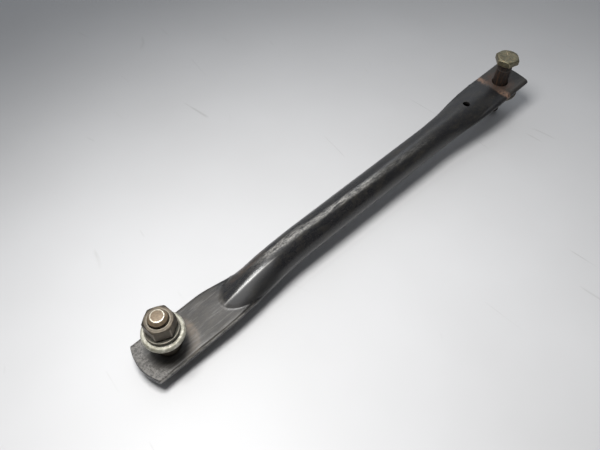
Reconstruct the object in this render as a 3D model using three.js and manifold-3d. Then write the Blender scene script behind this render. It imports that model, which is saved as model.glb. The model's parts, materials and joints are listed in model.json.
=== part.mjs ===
// Tubular link bar: a steel tube pressed flat at both ends, with one bolt through each flat end.
// Everything is drawn in millimetres in the bar's own frame: x runs from the near bolt's axis towards
// the far bolt, z is along the bolts, and z = 0 is the middle of the near tab. At the end the whole
// object is leaned and lifted, so that it stands on the floor as it really does, on the near bolt's
// head and the tip of the far bolt.
import * as THREE from 'three';
import Module from 'manifold-3d';
import { mergeVertices } from 'three/addons/utils/BufferGeometryUtils.js';

// ---- the bar ----
const HOLE_PITCH = 282.5;        // between the two bolt axes
const TUBE_R = 9.3;              // outer radius of the round part
const WALL = 2.0;                // tube wall
const TAB_HALF_T = 2.0;          // half the thickness of a pressed end, two walls together
const TAB_HALF_W = 13.2;         // half the width of a pressed end
const NEAR_AXIS_RISE = 2.1;      // tube axis above the near tab's middle plane, just past the near crease
const FAR_AXIS_RISE = 0.4;       // and where the far flat begins: the tube slopes a little down between the two
const FAR_RISE = 2.45;           // far tab's middle plane above the near tab's
const NEAR_CORNER = -14.0;       // x of the near end's corners
const NEAR_BULGE = 3.6;          // how far the near end's arc stands out past its corners
const FAR_CORNER = HOLE_PITCH + 15.1;
const FAR_BULGE = 1.9;

// where each pressed end turns back into round tube
const NEAR_NOSE = 32.7;          // tip of the near crease
const NEAR_CREASE_LEN = 23.0;    // length of its bullet shape
const NEAR_CREASE_HALF = 10.6;
const NEAR_CREST_Y = -1.5;       // the crest starts a little to one side of the middle
const NEAR_NARROW = 26.0;        // the tab starts to narrow here
const NEAR_SLIM = 56.0;          // down to the tube's width here, on the +y side
const NEAR_SLIM_BEHIND = 84.0;   // and only here on the -y side: the press was not quite square to the tube
const NEAR_ROUND = 70.0;         // full height from here
const NEAR_LIFT_FROM = 44.0;     // the tube's axis climbs from here
const NEAR_LIFT_TO = 90.0;       // to here
const FAR_NOSE = HOLE_PITCH - 10.5;
const FAR_CREASE_LEN = 9.0;
const FAR_CREASE_HALF = 12.6;
const FAR_NARROW = HOLE_PITCH - 24.0;
const FAR_ROUND = HOLE_PITCH - 78.0;

const NEAR_HOLE_R = 6.15;
const FAR_HOLE_R = 5.2;
const DRAIN_X = HOLE_PITCH - 40.0;
const DRAIN_R = 2.4;

// ---- the hardware ----
const GAP = 0.3;                 // clearance kept between pieces that touch
const HEX_FLATS = 14.0;          // across flats of the nuts and heads
const HEAD_H = 6.4;
const NUT_H = 7.8;
const THREAD_R = 4.9;
const NUT_BORE_R = 5.0;
const SHOULDER_R = 6.0;          // near bolt's thick part, which the tab turns on
const SHOULDER_TOP = 14.2;
const WASHER_R = 10.8;
const WASHER_T = 3.3;
const WASHER_BORE_R = 5.15;
const WASHER_ROUND = 1.3;
const SPRING_R = 8.6;
const SPRING_T = 2.4;
const SPRING_SLIT = 1.4;
const NEAR_BOLT_TOP = 31.8;
const NEAR_NUT_TURN = 34.7;      // angle of the near nut's first corner, in degrees
const FAR_HEAD_H = 3.8;          // the far bolt's head is a thin one
const FAR_HEAD_LIFT = 18.9;      // its underside above the far tab's middle plane
const FAR_BOLT_LEN = 41.6;       // under the head
const FAR_WASHER_R = 13.0;
const FAR_HEAD_TURN = 44.0;
const FAR_NUT_TURN = 12.0;
const ROUND_FACETS = 48;

const rad = (deg) => (deg * Math.PI) / 180;
const clamp01 = (t) => Math.min(1, Math.max(0, t));
const smooth = (t) => { const c = clamp01(t); return c * c * (3 - 2 * c); };
const easeOut = (t) => 1 - (1 - clamp01(t)) ** 2;
const mix = (a, b, t) => a + (b - a) * t;

const wasm = await Module();
wasm.setup();

function toManifold(geometry) {
  const bare = geometry.clone();
  bare.deleteAttribute('normal');
  bare.deleteAttribute('uv');
  const g = mergeVertices(bare, 1e-5);
  const mesh = new wasm.Mesh({
    numProp: 3,
    vertProperties: new Float32Array(g.attributes.position.array),
    triVerts: new Uint32Array(g.index.array),
  });
  return new wasm.Manifold(mesh);
}

function toGeometry(solid) {
  const mesh = solid.getMesh();
  const g = new THREE.BufferGeometry();
  g.setAttribute('position', new THREE.BufferAttribute(new Float32Array(mesh.vertProperties), 3));
  g.setIndex(new THREE.BufferAttribute(new Uint32Array(mesh.triVerts), 1));
  g.computeVertexNormals();
  return g;
}

// ---- shared shapes ----

// A turned solid about the z axis at (x, 0), from a profile of [radius, z] points.
function turned(profile, x = 0) {
  const points = profile.map(([r, z]) => new THREE.Vector2(r, z));
  const g = new THREE.LatheGeometry(points, ROUND_FACETS);
  g.rotateX(Math.PI / 2);
  g.translate(x, 0, 0);
  return toManifold(g);
}

// A ring with a rounded rim, for a thick washer.
function roundedRing(x, z0, outer, bore, height, round) {
  const profile = [[bore, z0]];
  for (let i = 0; i <= 4; i += 1) {
    const a = -Math.PI / 2 + (i / 4) * (Math.PI / 2);
    profile.push([outer - round + round * Math.cos(a), z0 + round + round * Math.sin(a)]);
  }
  for (let i = 0; i <= 4; i += 1) {
    const a = (i / 4) * (Math.PI / 2);
    profile.push([outer - round + round * Math.cos(a), z0 + height - round + round * Math.sin(a)]);
  }
  profile.push([bore, z0 + height], [bore, z0]);
  return turned(profile, x);
}

// A hexagonal prism with its corners turned off at the ends named.
function hexBlock(x, z0, height, turnDeg, chamferTop, chamferBottom) {
  const cornerR = HEX_FLATS / 2 / Math.cos(Math.PI / 6);
  const hex = new THREE.CylinderGeometry(cornerR, cornerR, height, 6);
  hex.rotateX(Math.PI / 2);
  hex.rotateZ(rad(turnDeg) - Math.PI / 2);
  hex.translate(x, 0, z0 + height / 2);
  const rimR = HEX_FLATS / 2 - 0.2;
  const drop = (cornerR + 0.1 - rimR) * Math.tan(rad(30));
  const top = z0 + height;
  const profile = [[0, z0]];
  profile.push(chamferBottom ? [rimR, z0] : [cornerR + 0.1, z0]);
  if (chamferBottom) profile.push([cornerR + 0.1, z0 + drop]);
  if (chamferTop) profile.push([cornerR + 0.1, top - drop]);
  profile.push(chamferTop ? [rimR, top] : [cornerR + 0.1, top]);
  profile.push([0, top]);
  return toManifold(hex).intersect(turned(profile, x));
}

// ---- the bar's cross-section at any x ----

function barSection(x) {
  const near = x < HOLE_PITCH / 2;
  const nearWidth = (slim) => mix(TAB_HALF_W, TUBE_R, smooth((x - NEAR_NARROW) / (slim - NEAR_NARROW)));
  const farWidth = mix(TAB_HALF_W, TUBE_R, smooth((FAR_NARROW - x) / (FAR_NARROW - FAR_ROUND)));
  // pairs are for the +y side and the -y side
  const halfW = near ? [nearWidth(NEAR_SLIM), nearWidth(NEAR_SLIM_BEHIND)] : [farWidth, farWidth];
  const axis = mix(NEAR_AXIS_RISE, FAR_AXIS_RISE, clamp01((x - NEAR_LIFT_TO) / (FAR_ROUND - NEAR_LIFT_TO)));
  const rise = near
    ? mix(0, axis, smooth((x - NEAR_LIFT_FROM) / (NEAR_LIFT_TO - NEAR_LIFT_FROM)))
    : mix(FAR_RISE, axis, smooth((FAR_NOSE - x) / (FAR_NOSE - FAR_ROUND)));
  const s = near
    ? (x - NEAR_NOSE) / (NEAR_ROUND - NEAR_NOSE)
    : (FAR_NOSE - x) / (FAR_NOSE - FAR_ROUND);
  if (s <= 0) return { halfW, rise };
  const [len, half, from, spreadOver] = near
    ? [NEAR_CREASE_LEN, NEAR_CREASE_HALF, x - NEAR_NOSE, 8]
    : [FAR_CREASE_LEN, FAR_CREASE_HALF, FAR_NOSE - x, 20];
  const nose = Math.sqrt(1 - (1 - clamp01(from / len)) ** 2);
  const reach = from < len ? half * nose : mix(half, TUBE_R + 4, smooth((from - len) / spreadOver));
  const crest = near ? NEAR_CREST_Y * (1 - smooth(s)) : 0;
  const room = [halfW[0] - crest, halfW[1] + crest];
  const bulge = room.map((r) => Math.min(r, reach));
  const foot = room.map((r) => (reach >= r - 1e-6 ? 0 : TAB_HALF_T));
  const height = TAB_HALF_T + (TUBE_R - TAB_HALF_T) * easeOut(s);
  const power = mix(near ? 0.75 : 1.2, 0.5, clamp01(s * 1.15));
  const roundness = near ? mix(1.5, 2, clamp01(s * 1.6)) : 2;   // the crest starts as a ridge
  return { halfW, rise, crest, bulge, foot, height, power, roundness };
}

// Height of the outside above the section's middle plane, at the distance y from the centre line.
function outsideHeight(sec, y) {
  const edge = Math.abs(y) - (sec.halfW[y >= 0 ? 0 : 1] - TAB_HALF_T);
  const flange = edge <= 0 ? TAB_HALF_T : Math.sqrt(Math.max(0, TAB_HALF_T ** 2 - edge ** 2));
  if (!sec.bulge) return flange;
  const side = y >= sec.crest ? 0 : 1;
  const inside = 1 - Math.abs((y - sec.crest) / sec.bulge[side]) ** sec.roundness;
  if (inside <= 0) return flange;
  return Math.max(flange, sec.foot[side] + (sec.height - sec.foot[side]) * inside ** sec.power);
}

// A closed solid through stations; each station gives its half width and its height across it.
function loft(stations, count) {
  const half = count / 2;
  const pos = [];
  for (const st of stations) {
    for (let i = 0; i < count; i += 1) {
      const a = (i / count) * 2 * Math.PI;
      const c = i === 0 ? 1 : i === half ? -1 : Math.cos(a);
      const y = c * st.halfW[c >= 0 ? 0 : 1];
      const up = i === 0 || i === half ? 0 : (i < half ? 1 : -1) * st.heightAt(y);
      pos.push(st.xAt(y), y, st.rise + up);
    }
  }
  const idx = [];
  for (let s = 0; s + 1 < stations.length; s += 1) {
    for (let i = 0; i < count; i += 1) {
      const j = (i + 1) % count;
      const [a, b, c, d] = [s * count + i, s * count + j, (s + 1) * count + i, (s + 1) * count + j];
      idx.push(a, b, d, a, d, c);
    }
  }
  const last = (stations.length - 1) * count;
  for (let i = 0; i < half; i += 1) {
    const [u0, u1] = [i, i + 1];
    const [v0, v1] = [(count - i) % count, count - i - 1];
    if (i === 0) idx.push(u0, v1, u1);
    else if (i === half - 1) idx.push(u0, v0, u1);
    else idx.push(u0, v0, u1, u1, v0, v1);
    if (i === 0) idx.push(last + u0, last + u1, last + v1);
    else if (i === half - 1) idx.push(last + u0, last + u1, last + v0);
    else idx.push(last + u0, last + u1, last + v0, last + u1, last + v1, last + v0);
  }
  const g = new THREE.BufferGeometry();
  g.setAttribute('position', new THREE.Float32BufferAttribute(pos, 3));
  g.setIndex(idx);
  return toManifold(g);
}

function spread(from, to, steps) {
  return Array.from({ length: steps + 1 }, (_, i) => mix(from, to, i / steps));
}

function barTube() {
  const count = 64;
  const station = (x, xAt) => {
    const sec = barSection(x);
    return { halfW: sec.halfW, rise: sec.rise, xAt: xAt ?? (() => x), heightAt: (y) => outsideHeight(sec, y) };
  };
  const arcEnd = (corner, bulge) => (y) => corner + bulge * (1 - (y / TAB_HALF_W) ** 2);
  const xs = [
    NEAR_CORNER + 5, 10, NEAR_NARROW,
    ...spread(NEAR_NOSE, NEAR_NOSE + 6, 4), ...spread(NEAR_NOSE + 8, NEAR_ROUND, 12),
    ...spread(NEAR_ROUND + 6, NEAR_LIFT_TO, 4), ...spread(NEAR_LIFT_TO + 30, FAR_ROUND - 20, 2),
    ...spread(FAR_ROUND, FAR_NOSE - 12, 16), ...spread(FAR_NOSE - 10, FAR_NOSE, 5),
    FAR_CORNER - 5,
  ];
  const outer = loft([
    station(NEAR_CORNER, arcEnd(NEAR_CORNER, -NEAR_BULGE)),
    ...xs.map((x) => station(x)),
    station(FAR_CORNER, arcEnd(FAR_CORNER, FAR_BULGE)),
  ], count);

  const hollow = (x) => {
    const sec = barSection(x);
    const inner = sec.bulge.map((b) => b - WALL * 0.95);
    const halfW = [inner[0] + sec.crest, inner[1] - sec.crest];
    const height = sec.height - WALL;
    const heightAt = (y) => {
      const share = Math.abs((y - sec.crest) / inner[y >= sec.crest ? 0 : 1]);
      return Math.max(0.02, height * Math.max(0, 1 - share ** sec.roundness) ** sec.power);
    };
    return { halfW, rise: sec.rise, xAt: () => x, heightAt };
  };
  const cavity = loft([
    ...spread(NEAR_NOSE + 3, NEAR_NOSE + 10, 3), ...spread(NEAR_NOSE + 13, NEAR_ROUND, 7),
    ...spread(NEAR_ROUND + 6, NEAR_LIFT_TO, 4), ...spread(NEAR_LIFT_TO + 30, FAR_ROUND - 20, 2),
    ...spread(FAR_ROUND, FAR_NOSE - 12, 10), FAR_NOSE - 7, FAR_NOSE - 4,
  ].map(hollow), 32);

  const drill = (x, r, z0, z1) => turned([[0, z0], [r, z0], [r, z1], [0, z1]], x);
  const drainTop = barSection(DRAIN_X);
  const cut = cavity
    .add(drill(DRAIN_X, DRAIN_R, drainTop.rise, drainTop.rise + TUBE_R + 2))
    .add(drill(0, NEAR_HOLE_R, -TAB_HALF_T - 1, TAB_HALF_T + 1))
    .add(drill(HOLE_PITCH, FAR_HOLE_R, FAR_RISE - TAB_HALF_T - 1, FAR_RISE + TAB_HALF_T + 1));
  return outer.subtract(cut);
}

// ---- the near bolt and what is on it ----

const NEAR_HEAD_TOP = -TAB_HALF_T - GAP;
const NEAR_HEAD_BOTTOM = NEAR_HEAD_TOP - HEAD_H;
const NEAR_WASHER_Z = SHOULDER_TOP + GAP;
const NEAR_SPRING_Z = NEAR_WASHER_Z + WASHER_T + GAP;
const NEAR_NUT_Z = NEAR_SPRING_Z + SPRING_T + GAP;

function nearBolt() {
  const head = hexBlock(0, NEAR_HEAD_BOTTOM, HEAD_H, 30, false, true);
  const shank = turned([
    [0, NEAR_HEAD_TOP - 0.5], [SHOULDER_R, NEAR_HEAD_TOP - 0.5],
    [SHOULDER_R, SHOULDER_TOP - 0.4], [SHOULDER_R - 0.4, SHOULDER_TOP],
    [THREAD_R, SHOULDER_TOP], [THREAD_R, NEAR_BOLT_TOP - 1.1],
    [THREAD_R - 1.1, NEAR_BOLT_TOP], [0, NEAR_BOLT_TOP],
  ]);
  return head.add(shank);
}

function nearPlainWasher() {
  return roundedRing(0, NEAR_WASHER_Z, WASHER_R, WASHER_BORE_R, WASHER_T, WASHER_ROUND);
}

function nearSpringWasher() {
  const ring = roundedRing(0, NEAR_SPRING_Z, SPRING_R, WASHER_BORE_R, SPRING_T, 0.3);
  const slit = new THREE.BoxGeometry(12, SPRING_SLIT, SPRING_T + 4);
  slit.translate(SPRING_R - 1, 0, 0);
  slit.rotateX(rad(35));
  slit.rotateZ(rad(60));
  slit.translate(0, 0, NEAR_SPRING_Z + SPRING_T / 2);
  return ring.subtract(toManifold(slit));
}

function nut(x, z0, turnDeg) {
  const bore = turned([
    [0, z0 - 1], [NUT_BORE_R, z0 - 1], [NUT_BORE_R, z0 + NUT_H + 1], [0, z0 + NUT_H + 1],
  ], x);
  return hexBlock(x, z0, NUT_H, turnDeg, true, true).subtract(bore);
}

// ---- the far bolt and what is on it ----

const FAR_HEAD_Z = FAR_RISE + FAR_HEAD_LIFT;
const FAR_BOLT_TIP = FAR_HEAD_Z - FAR_BOLT_LEN;
const FAR_WASHER_Z = FAR_RISE - TAB_HALF_T - GAP - WASHER_T;
const FAR_NUT_Z = FAR_WASHER_Z - GAP - NUT_H;

function farBolt() {
  const head = hexBlock(HOLE_PITCH, FAR_HEAD_Z, FAR_HEAD_H, FAR_HEAD_TURN, true, false);
  const shank = turned([
    [0, FAR_BOLT_TIP], [THREAD_R - 1.1, FAR_BOLT_TIP], [THREAD_R, FAR_BOLT_TIP + 1.1],
    [THREAD_R, FAR_HEAD_Z - 0.6], [6.6, FAR_HEAD_Z - 0.6], [6.6, FAR_HEAD_Z + 0.5], [0, FAR_HEAD_Z + 0.5],
  ], HOLE_PITCH);
  return head.add(shank);
}

function farPlainWasher() {
  return roundedRing(HOLE_PITCH, FAR_WASHER_Z, FAR_WASHER_R, WASHER_BORE_R, WASHER_T, WASHER_ROUND);
}

// ---- colours and the finished object ----

const PAINT = { color: 0x34373a, roughness: 0.42, metalness: 0.25 };
const TARNISHED = { color: 0x6b6454, roughness: 0.5, metalness: 0.8 };
const NICKEL = { color: 0xcfc9ba, roughness: 0.38, metalness: 0.9 };
const DARK_STEEL = { color: 0x3d3f3a, roughness: 0.5, metalness: 0.8 };
const ZINC = { color: 0xa9a58a, roughness: 0.42, metalness: 0.85 };

const pieces = [
  ['bar_tube', barTube(), PAINT],
  ['near_bolt', nearBolt(), TARNISHED],
  ['near_plain_washer', nearPlainWasher(), NICKEL],
  ['near_spring_washer', nearSpringWasher(), DARK_STEEL],
  ['near_nut', nut(0, NEAR_NUT_Z, NEAR_NUT_TURN), TARNISHED],
  ['far_bolt', farBolt(), ZINC],
  ['far_plain_washer', farPlainWasher(), NICKEL],
  ['far_nut', nut(HOLE_PITCH, FAR_NUT_Z, FAR_NUT_TURN), TARNISHED],
];

// The floor touches the near head's outer edge and the far bolt's tip: the lean is the angle between.
const HEAD_EDGE = HEX_FLATS / 2 - 0.2;
const TIP_EDGE = THREAD_R - 1.1;
const LEAN = Math.atan2(NEAR_HEAD_BOTTOM - FAR_BOLT_TIP, HOLE_PITCH - TIP_EDGE + HEAD_EDGE);

const group = new THREE.Group();
group.name = 'link_bar';
for (const [name, solid, look] of pieces) {
  const geometry = toGeometry(solid);
  geometry.rotateY(-LEAN);
  const mesh = new THREE.Mesh(geometry, new THREE.MeshStandardMaterial(look));
  mesh.name = name;
  group.add(mesh);
}
const box = new THREE.Box3().setFromObject(group);
for (const mesh of group.children) {
  mesh.geometry.translate(-(box.min.x + box.max.x) / 2, -(box.min.y + box.max.y) / 2, -box.min.z);
}

export default group;
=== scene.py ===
# A pressed steel tube with two flat ends. A bolt stands through each end with its washers and its nut.
# Lengths in this script are millimetres in the bar's own axes, unless a name says metres:
# x runs from the near bolt to the far one, z along the bolts, and z = 0 is the near tab's middle plane.
import json
import math

import bmesh
import bpy
from mathutils import Matrix, Vector


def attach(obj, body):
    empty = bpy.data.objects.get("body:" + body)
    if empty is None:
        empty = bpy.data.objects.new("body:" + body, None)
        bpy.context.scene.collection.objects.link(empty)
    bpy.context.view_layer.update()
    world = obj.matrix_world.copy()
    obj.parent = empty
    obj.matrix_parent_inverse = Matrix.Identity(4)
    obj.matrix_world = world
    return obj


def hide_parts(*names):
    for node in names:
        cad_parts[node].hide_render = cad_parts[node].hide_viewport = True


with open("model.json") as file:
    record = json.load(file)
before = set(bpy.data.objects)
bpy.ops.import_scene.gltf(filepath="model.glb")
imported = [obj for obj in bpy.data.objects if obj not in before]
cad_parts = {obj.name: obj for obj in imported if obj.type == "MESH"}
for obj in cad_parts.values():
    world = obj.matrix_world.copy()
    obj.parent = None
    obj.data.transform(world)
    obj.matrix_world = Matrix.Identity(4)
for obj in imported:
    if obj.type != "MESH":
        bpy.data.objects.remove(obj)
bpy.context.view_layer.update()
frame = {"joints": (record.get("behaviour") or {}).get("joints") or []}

MM = 0.001

# ---- the bar's own sizes ----
TUBE_R = 9.3
TAB_HALF_T = 2.0
TAB_HALF_W = 13.2
NEAR_AXIS_RISE, FAR_AXIS_RISE = 2.1, 0.4
FAR_RISE = 2.45
NEAR_CORNER, NEAR_BULGE = -14.0, 3.6
FAR_OVERHANG, FAR_BULGE = 15.1, 1.9
NEAR_NOSE, NEAR_CREASE_LEN, NEAR_CREASE_HALF, NEAR_CREST_Y = 32.7, 23.0, 10.6, -1.5
NEAR_NARROW, NEAR_SLIM, NEAR_SLIM_BEHIND, NEAR_ROUND = 26.0, 56.0, 84.0, 70.0
NEAR_LIFT_FROM, NEAR_LIFT_TO = 44.0, 90.0
FAR_NOSE, FAR_CREASE_LEN, FAR_CREASE_HALF = -10.5, 9.0, 12.6   # from the far bolt
FAR_NARROW, FAR_ROUND = -24.0, -78.0
DRAIN_BACK, DRAIN_R = 40.0, 2.4
NEAR_HOLE_R, FAR_HOLE_R = 6.15, 5.2
WALL = 2.0

# ---- bolts, washers and nuts ----
HEX_FLATS = 14.0
HEAD_H, FAR_HEAD_H, NUT_H = 6.4, 3.8, 7.8
THREAD_R, THREAD_PITCH, THREAD_DEPTH, TIP_CHAMFER = 4.9, 1.25, 0.62, 1.6
NUT_BORE_R = 5.0
SHOULDER_R, SHOULDER_TOP = 6.0, 14.2
WASHER_R, WASHER_T, WASHER_BORE_R, WASHER_ROUND = 10.8, 3.3, 5.15, 1.3
SPRING_R, SPRING_T, SPRING_SLIT = 8.6, 2.4, 1.4
NEAR_BOLT_TOP = 31.8
NEAR_NUT_TURN, FAR_HEAD_TURN, FAR_NUT_TURN = 34.7, 44.0, 12.0
FAR_HEAD_LIFT, FAR_BOLT_LEN, FAR_SHANK = 18.9, 41.6, 17.5
FAR_WASHER_R = 13.0
HEAD_FACE_R = 6.6          # the turned face under the far head
WASHER_WOBBLE = 0.0012     # how far out of round the thick washers are, as a share
SPRING_GAP_AT = 60.0       # degrees round the ring
NEAR_HEAD_TURN = 30.0
CREASE_SOFTNESS = 1.1
GAP = 0.3

# ---- how finely the turned pieces are cut ----
DRILL_SIDES, DRAIN_SIDES, BOLT_SIDES, WASHER_SIDES = 64, 48, 96, 128
BAR_SHARP_DEG = 42.0

# ---- where the bar lies, from the record's joints ----
JOINTS = {joint["name"]: joint for joint in frame["joints"]}
NEAR_AXIS_POINT = Vector(JOINTS["near_pivot"]["pos_m"])
FAR_AXIS_POINT = Vector(JOINTS["far_pivot"]["pos_m"])
BOLT_AXIS = Vector(JOINTS["near_pivot"]["axis"]).normalized()
BAR_AXIS = Vector((BOLT_AXIS.z, 0.0, -BOLT_AXIS.x))
HOLE_PITCH = (FAR_AXIS_POINT - NEAR_AXIS_POINT).dot(BAR_AXIS) / MM
BAR_TURN = Matrix((BAR_AXIS, (0.0, 1.0, 0.0), BOLT_AXIS)).transposed()
BAR_PLACE = Matrix.Translation(NEAR_AXIS_POINT) @ BAR_TURN.to_4x4() @ Matrix.Diagonal((MM, MM, MM, 1.0))

NEAR_WASHER_Z = SHOULDER_TOP + GAP
NEAR_SPRING_Z = NEAR_WASHER_Z + WASHER_T + GAP
NEAR_NUT_Z = NEAR_SPRING_Z + SPRING_T + GAP
NEAR_HEAD_TOP = -TAB_HALF_T - GAP
FAR_HEAD_Z = FAR_RISE + FAR_HEAD_LIFT
FAR_BOLT_TIP = FAR_HEAD_Z - FAR_BOLT_LEN
FAR_WASHER_Z = FAR_RISE - TAB_HALF_T - GAP - WASHER_T
FAR_NUT_Z = FAR_WASHER_Z - GAP - NUT_H


# ---------------------------------------------------------------- node arithmetic

class Num:
    """A number in a node tree, so that a rule is written as ordinary arithmetic."""

    def __init__(self, tree, socket):
        self.tree, self.socket = tree, socket

    def op(self, operation, *others):
        node = self.tree.nodes.new("ShaderNodeMath")
        node.operation = operation
        for slot, value in zip(node.inputs, (self,) + others):
            feed(self.tree, slot, value)
        return Num(self.tree, node.outputs[0])

    def __add__(self, other): return self.op("ADD", other)
    def __radd__(self, other): return self.op("ADD", other)
    def __sub__(self, other): return self.op("SUBTRACT", other)
    def __rsub__(self, other): return (self * -1.0) + other
    def __mul__(self, other): return self.op("MULTIPLY", other)
    def __rmul__(self, other): return self.op("MULTIPLY", other)
    def __truediv__(self, other): return self.op("DIVIDE", other)
    def __pow__(self, other): return self.op("POWER", other)
    def least(self, other): return self.op("MINIMUM", other)
    def most(self, other): return self.op("MAXIMUM", other)
    def above(self, other): return self.op("GREATER_THAN", other)
    def clamped(self): return self.most(0.0).least(1.0)

    def smooth(self):
        t = self.clamped()
        return t * t * (3.0 - 2.0 * t)

    def band(self, low, high, soft):
        """1 between low and high, with soft ends."""
        return ((self - low) / soft + 0.5).smooth() * ((high - self) / soft + 0.5).smooth()


def feed(tree, slot, value):
    if isinstance(value, Num):
        tree.links.new(value.socket, slot)
    elif isinstance(value, bpy.types.NodeSocket):
        tree.links.new(value, slot)
    else:
        slot.default_value = value


# ---------------------------------------------------------------- geometry node trees

def new_tree(name, sizes):
    """An empty geometry tree with named inputs, each with its size."""
    tree = bpy.data.node_groups.new(name, "GeometryNodeTree")
    tree.interface.new_socket("Geometry", in_out="INPUT", socket_type="NodeSocketGeometry")
    for label, value in sizes.items():
        kind = "NodeSocketMaterial" if label == "Material" else "NodeSocketFloat"
        socket = tree.interface.new_socket(label, in_out="INPUT", socket_type=kind)
        if kind == "NodeSocketFloat":
            socket.default_value = value
    tree.interface.new_socket("Geometry", in_out="OUTPUT", socket_type="NodeSocketGeometry")
    given = tree.nodes.new("NodeGroupInput")
    made = tree.nodes.new("NodeGroupOutput")
    inputs = {label: given.outputs[label] for label in sizes}
    nums = {label: Num(tree, s) for label, s in inputs.items() if label != "Material"}
    return tree, nums, inputs.get("Material"), made


def close_tree(tree, mesh, material, made, seam):
    """Closes the seams, then ends the tree in real geometry with its material."""
    merge = tree.nodes.new("GeometryNodeMergeByDistance")
    merge.inputs["Distance"].default_value = seam
    real = tree.nodes.new("GeometryNodeRealizeInstances")
    paint = tree.nodes.new("GeometryNodeSetMaterial")
    tree.links.new(mesh, merge.inputs["Geometry"])
    tree.links.new(merge.outputs[0], real.inputs[0])
    tree.links.new(real.outputs[0], paint.inputs["Geometry"])
    tree.links.new(material, paint.inputs["Material"])
    tree.links.new(paint.outputs[0], made.inputs[0])


def grid_uv(tree, along, around):
    """A unit grid with its two shares, 0 to 1, as numbers, and its geometry."""
    grid = tree.nodes.new("GeometryNodeMeshGrid")
    grid.inputs["Size X"].default_value = 1.0
    grid.inputs["Size Y"].default_value = 1.0
    grid.inputs["Vertices X"].default_value = along
    grid.inputs["Vertices Y"].default_value = around
    place = tree.nodes.new("GeometryNodeInputPosition")
    split = tree.nodes.new("ShaderNodeSeparateXYZ")
    tree.links.new(place.outputs[0], split.inputs[0])
    return grid.outputs["Mesh"], Num(tree, split.outputs[0]) + 0.5, Num(tree, split.outputs[1]) + 0.5


def put_at(tree, mesh, x, y, z):
    joined = tree.nodes.new("ShaderNodeCombineXYZ")
    for slot, value in zip(joined.inputs, (x, y, z)):
        feed(tree, slot, value)
    move = tree.nodes.new("GeometryNodeSetPosition")
    tree.links.new(mesh, move.inputs["Geometry"])
    tree.links.new(joined.outputs[0], move.inputs["Position"])
    return move.outputs[0]


def grown_mesh(tree, name, values):
    """Runs a tree once with these inputs, and gives its plain mesh."""
    holder = bpy.data.objects.new(name, bpy.data.meshes.new(name))
    bpy.context.scene.collection.objects.link(holder)
    modifier = holder.modifiers.new("grow", "NODES")
    modifier.node_group = tree
    for item in tree.interface.items_tree:
        if item.item_type == "SOCKET" and item.in_out == "INPUT" and item.name in values:
            modifier[item.identifier] = values[item.name]
    bpy.context.view_layer.update()
    depsgraph = bpy.context.evaluated_depsgraph_get()
    mesh = bpy.data.meshes.new_from_object(holder.evaluated_get(depsgraph))
    mesh.name = name
    holder.modifiers.remove(modifier)
    bpy.data.objects.remove(holder)
    return mesh


BAR_STATIONS, BAR_AROUND = 431, 129
END_ROWS = 3            # rows that round off each end
SEAM_IN = 0.45          # how far the last full row is from the end


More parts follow.
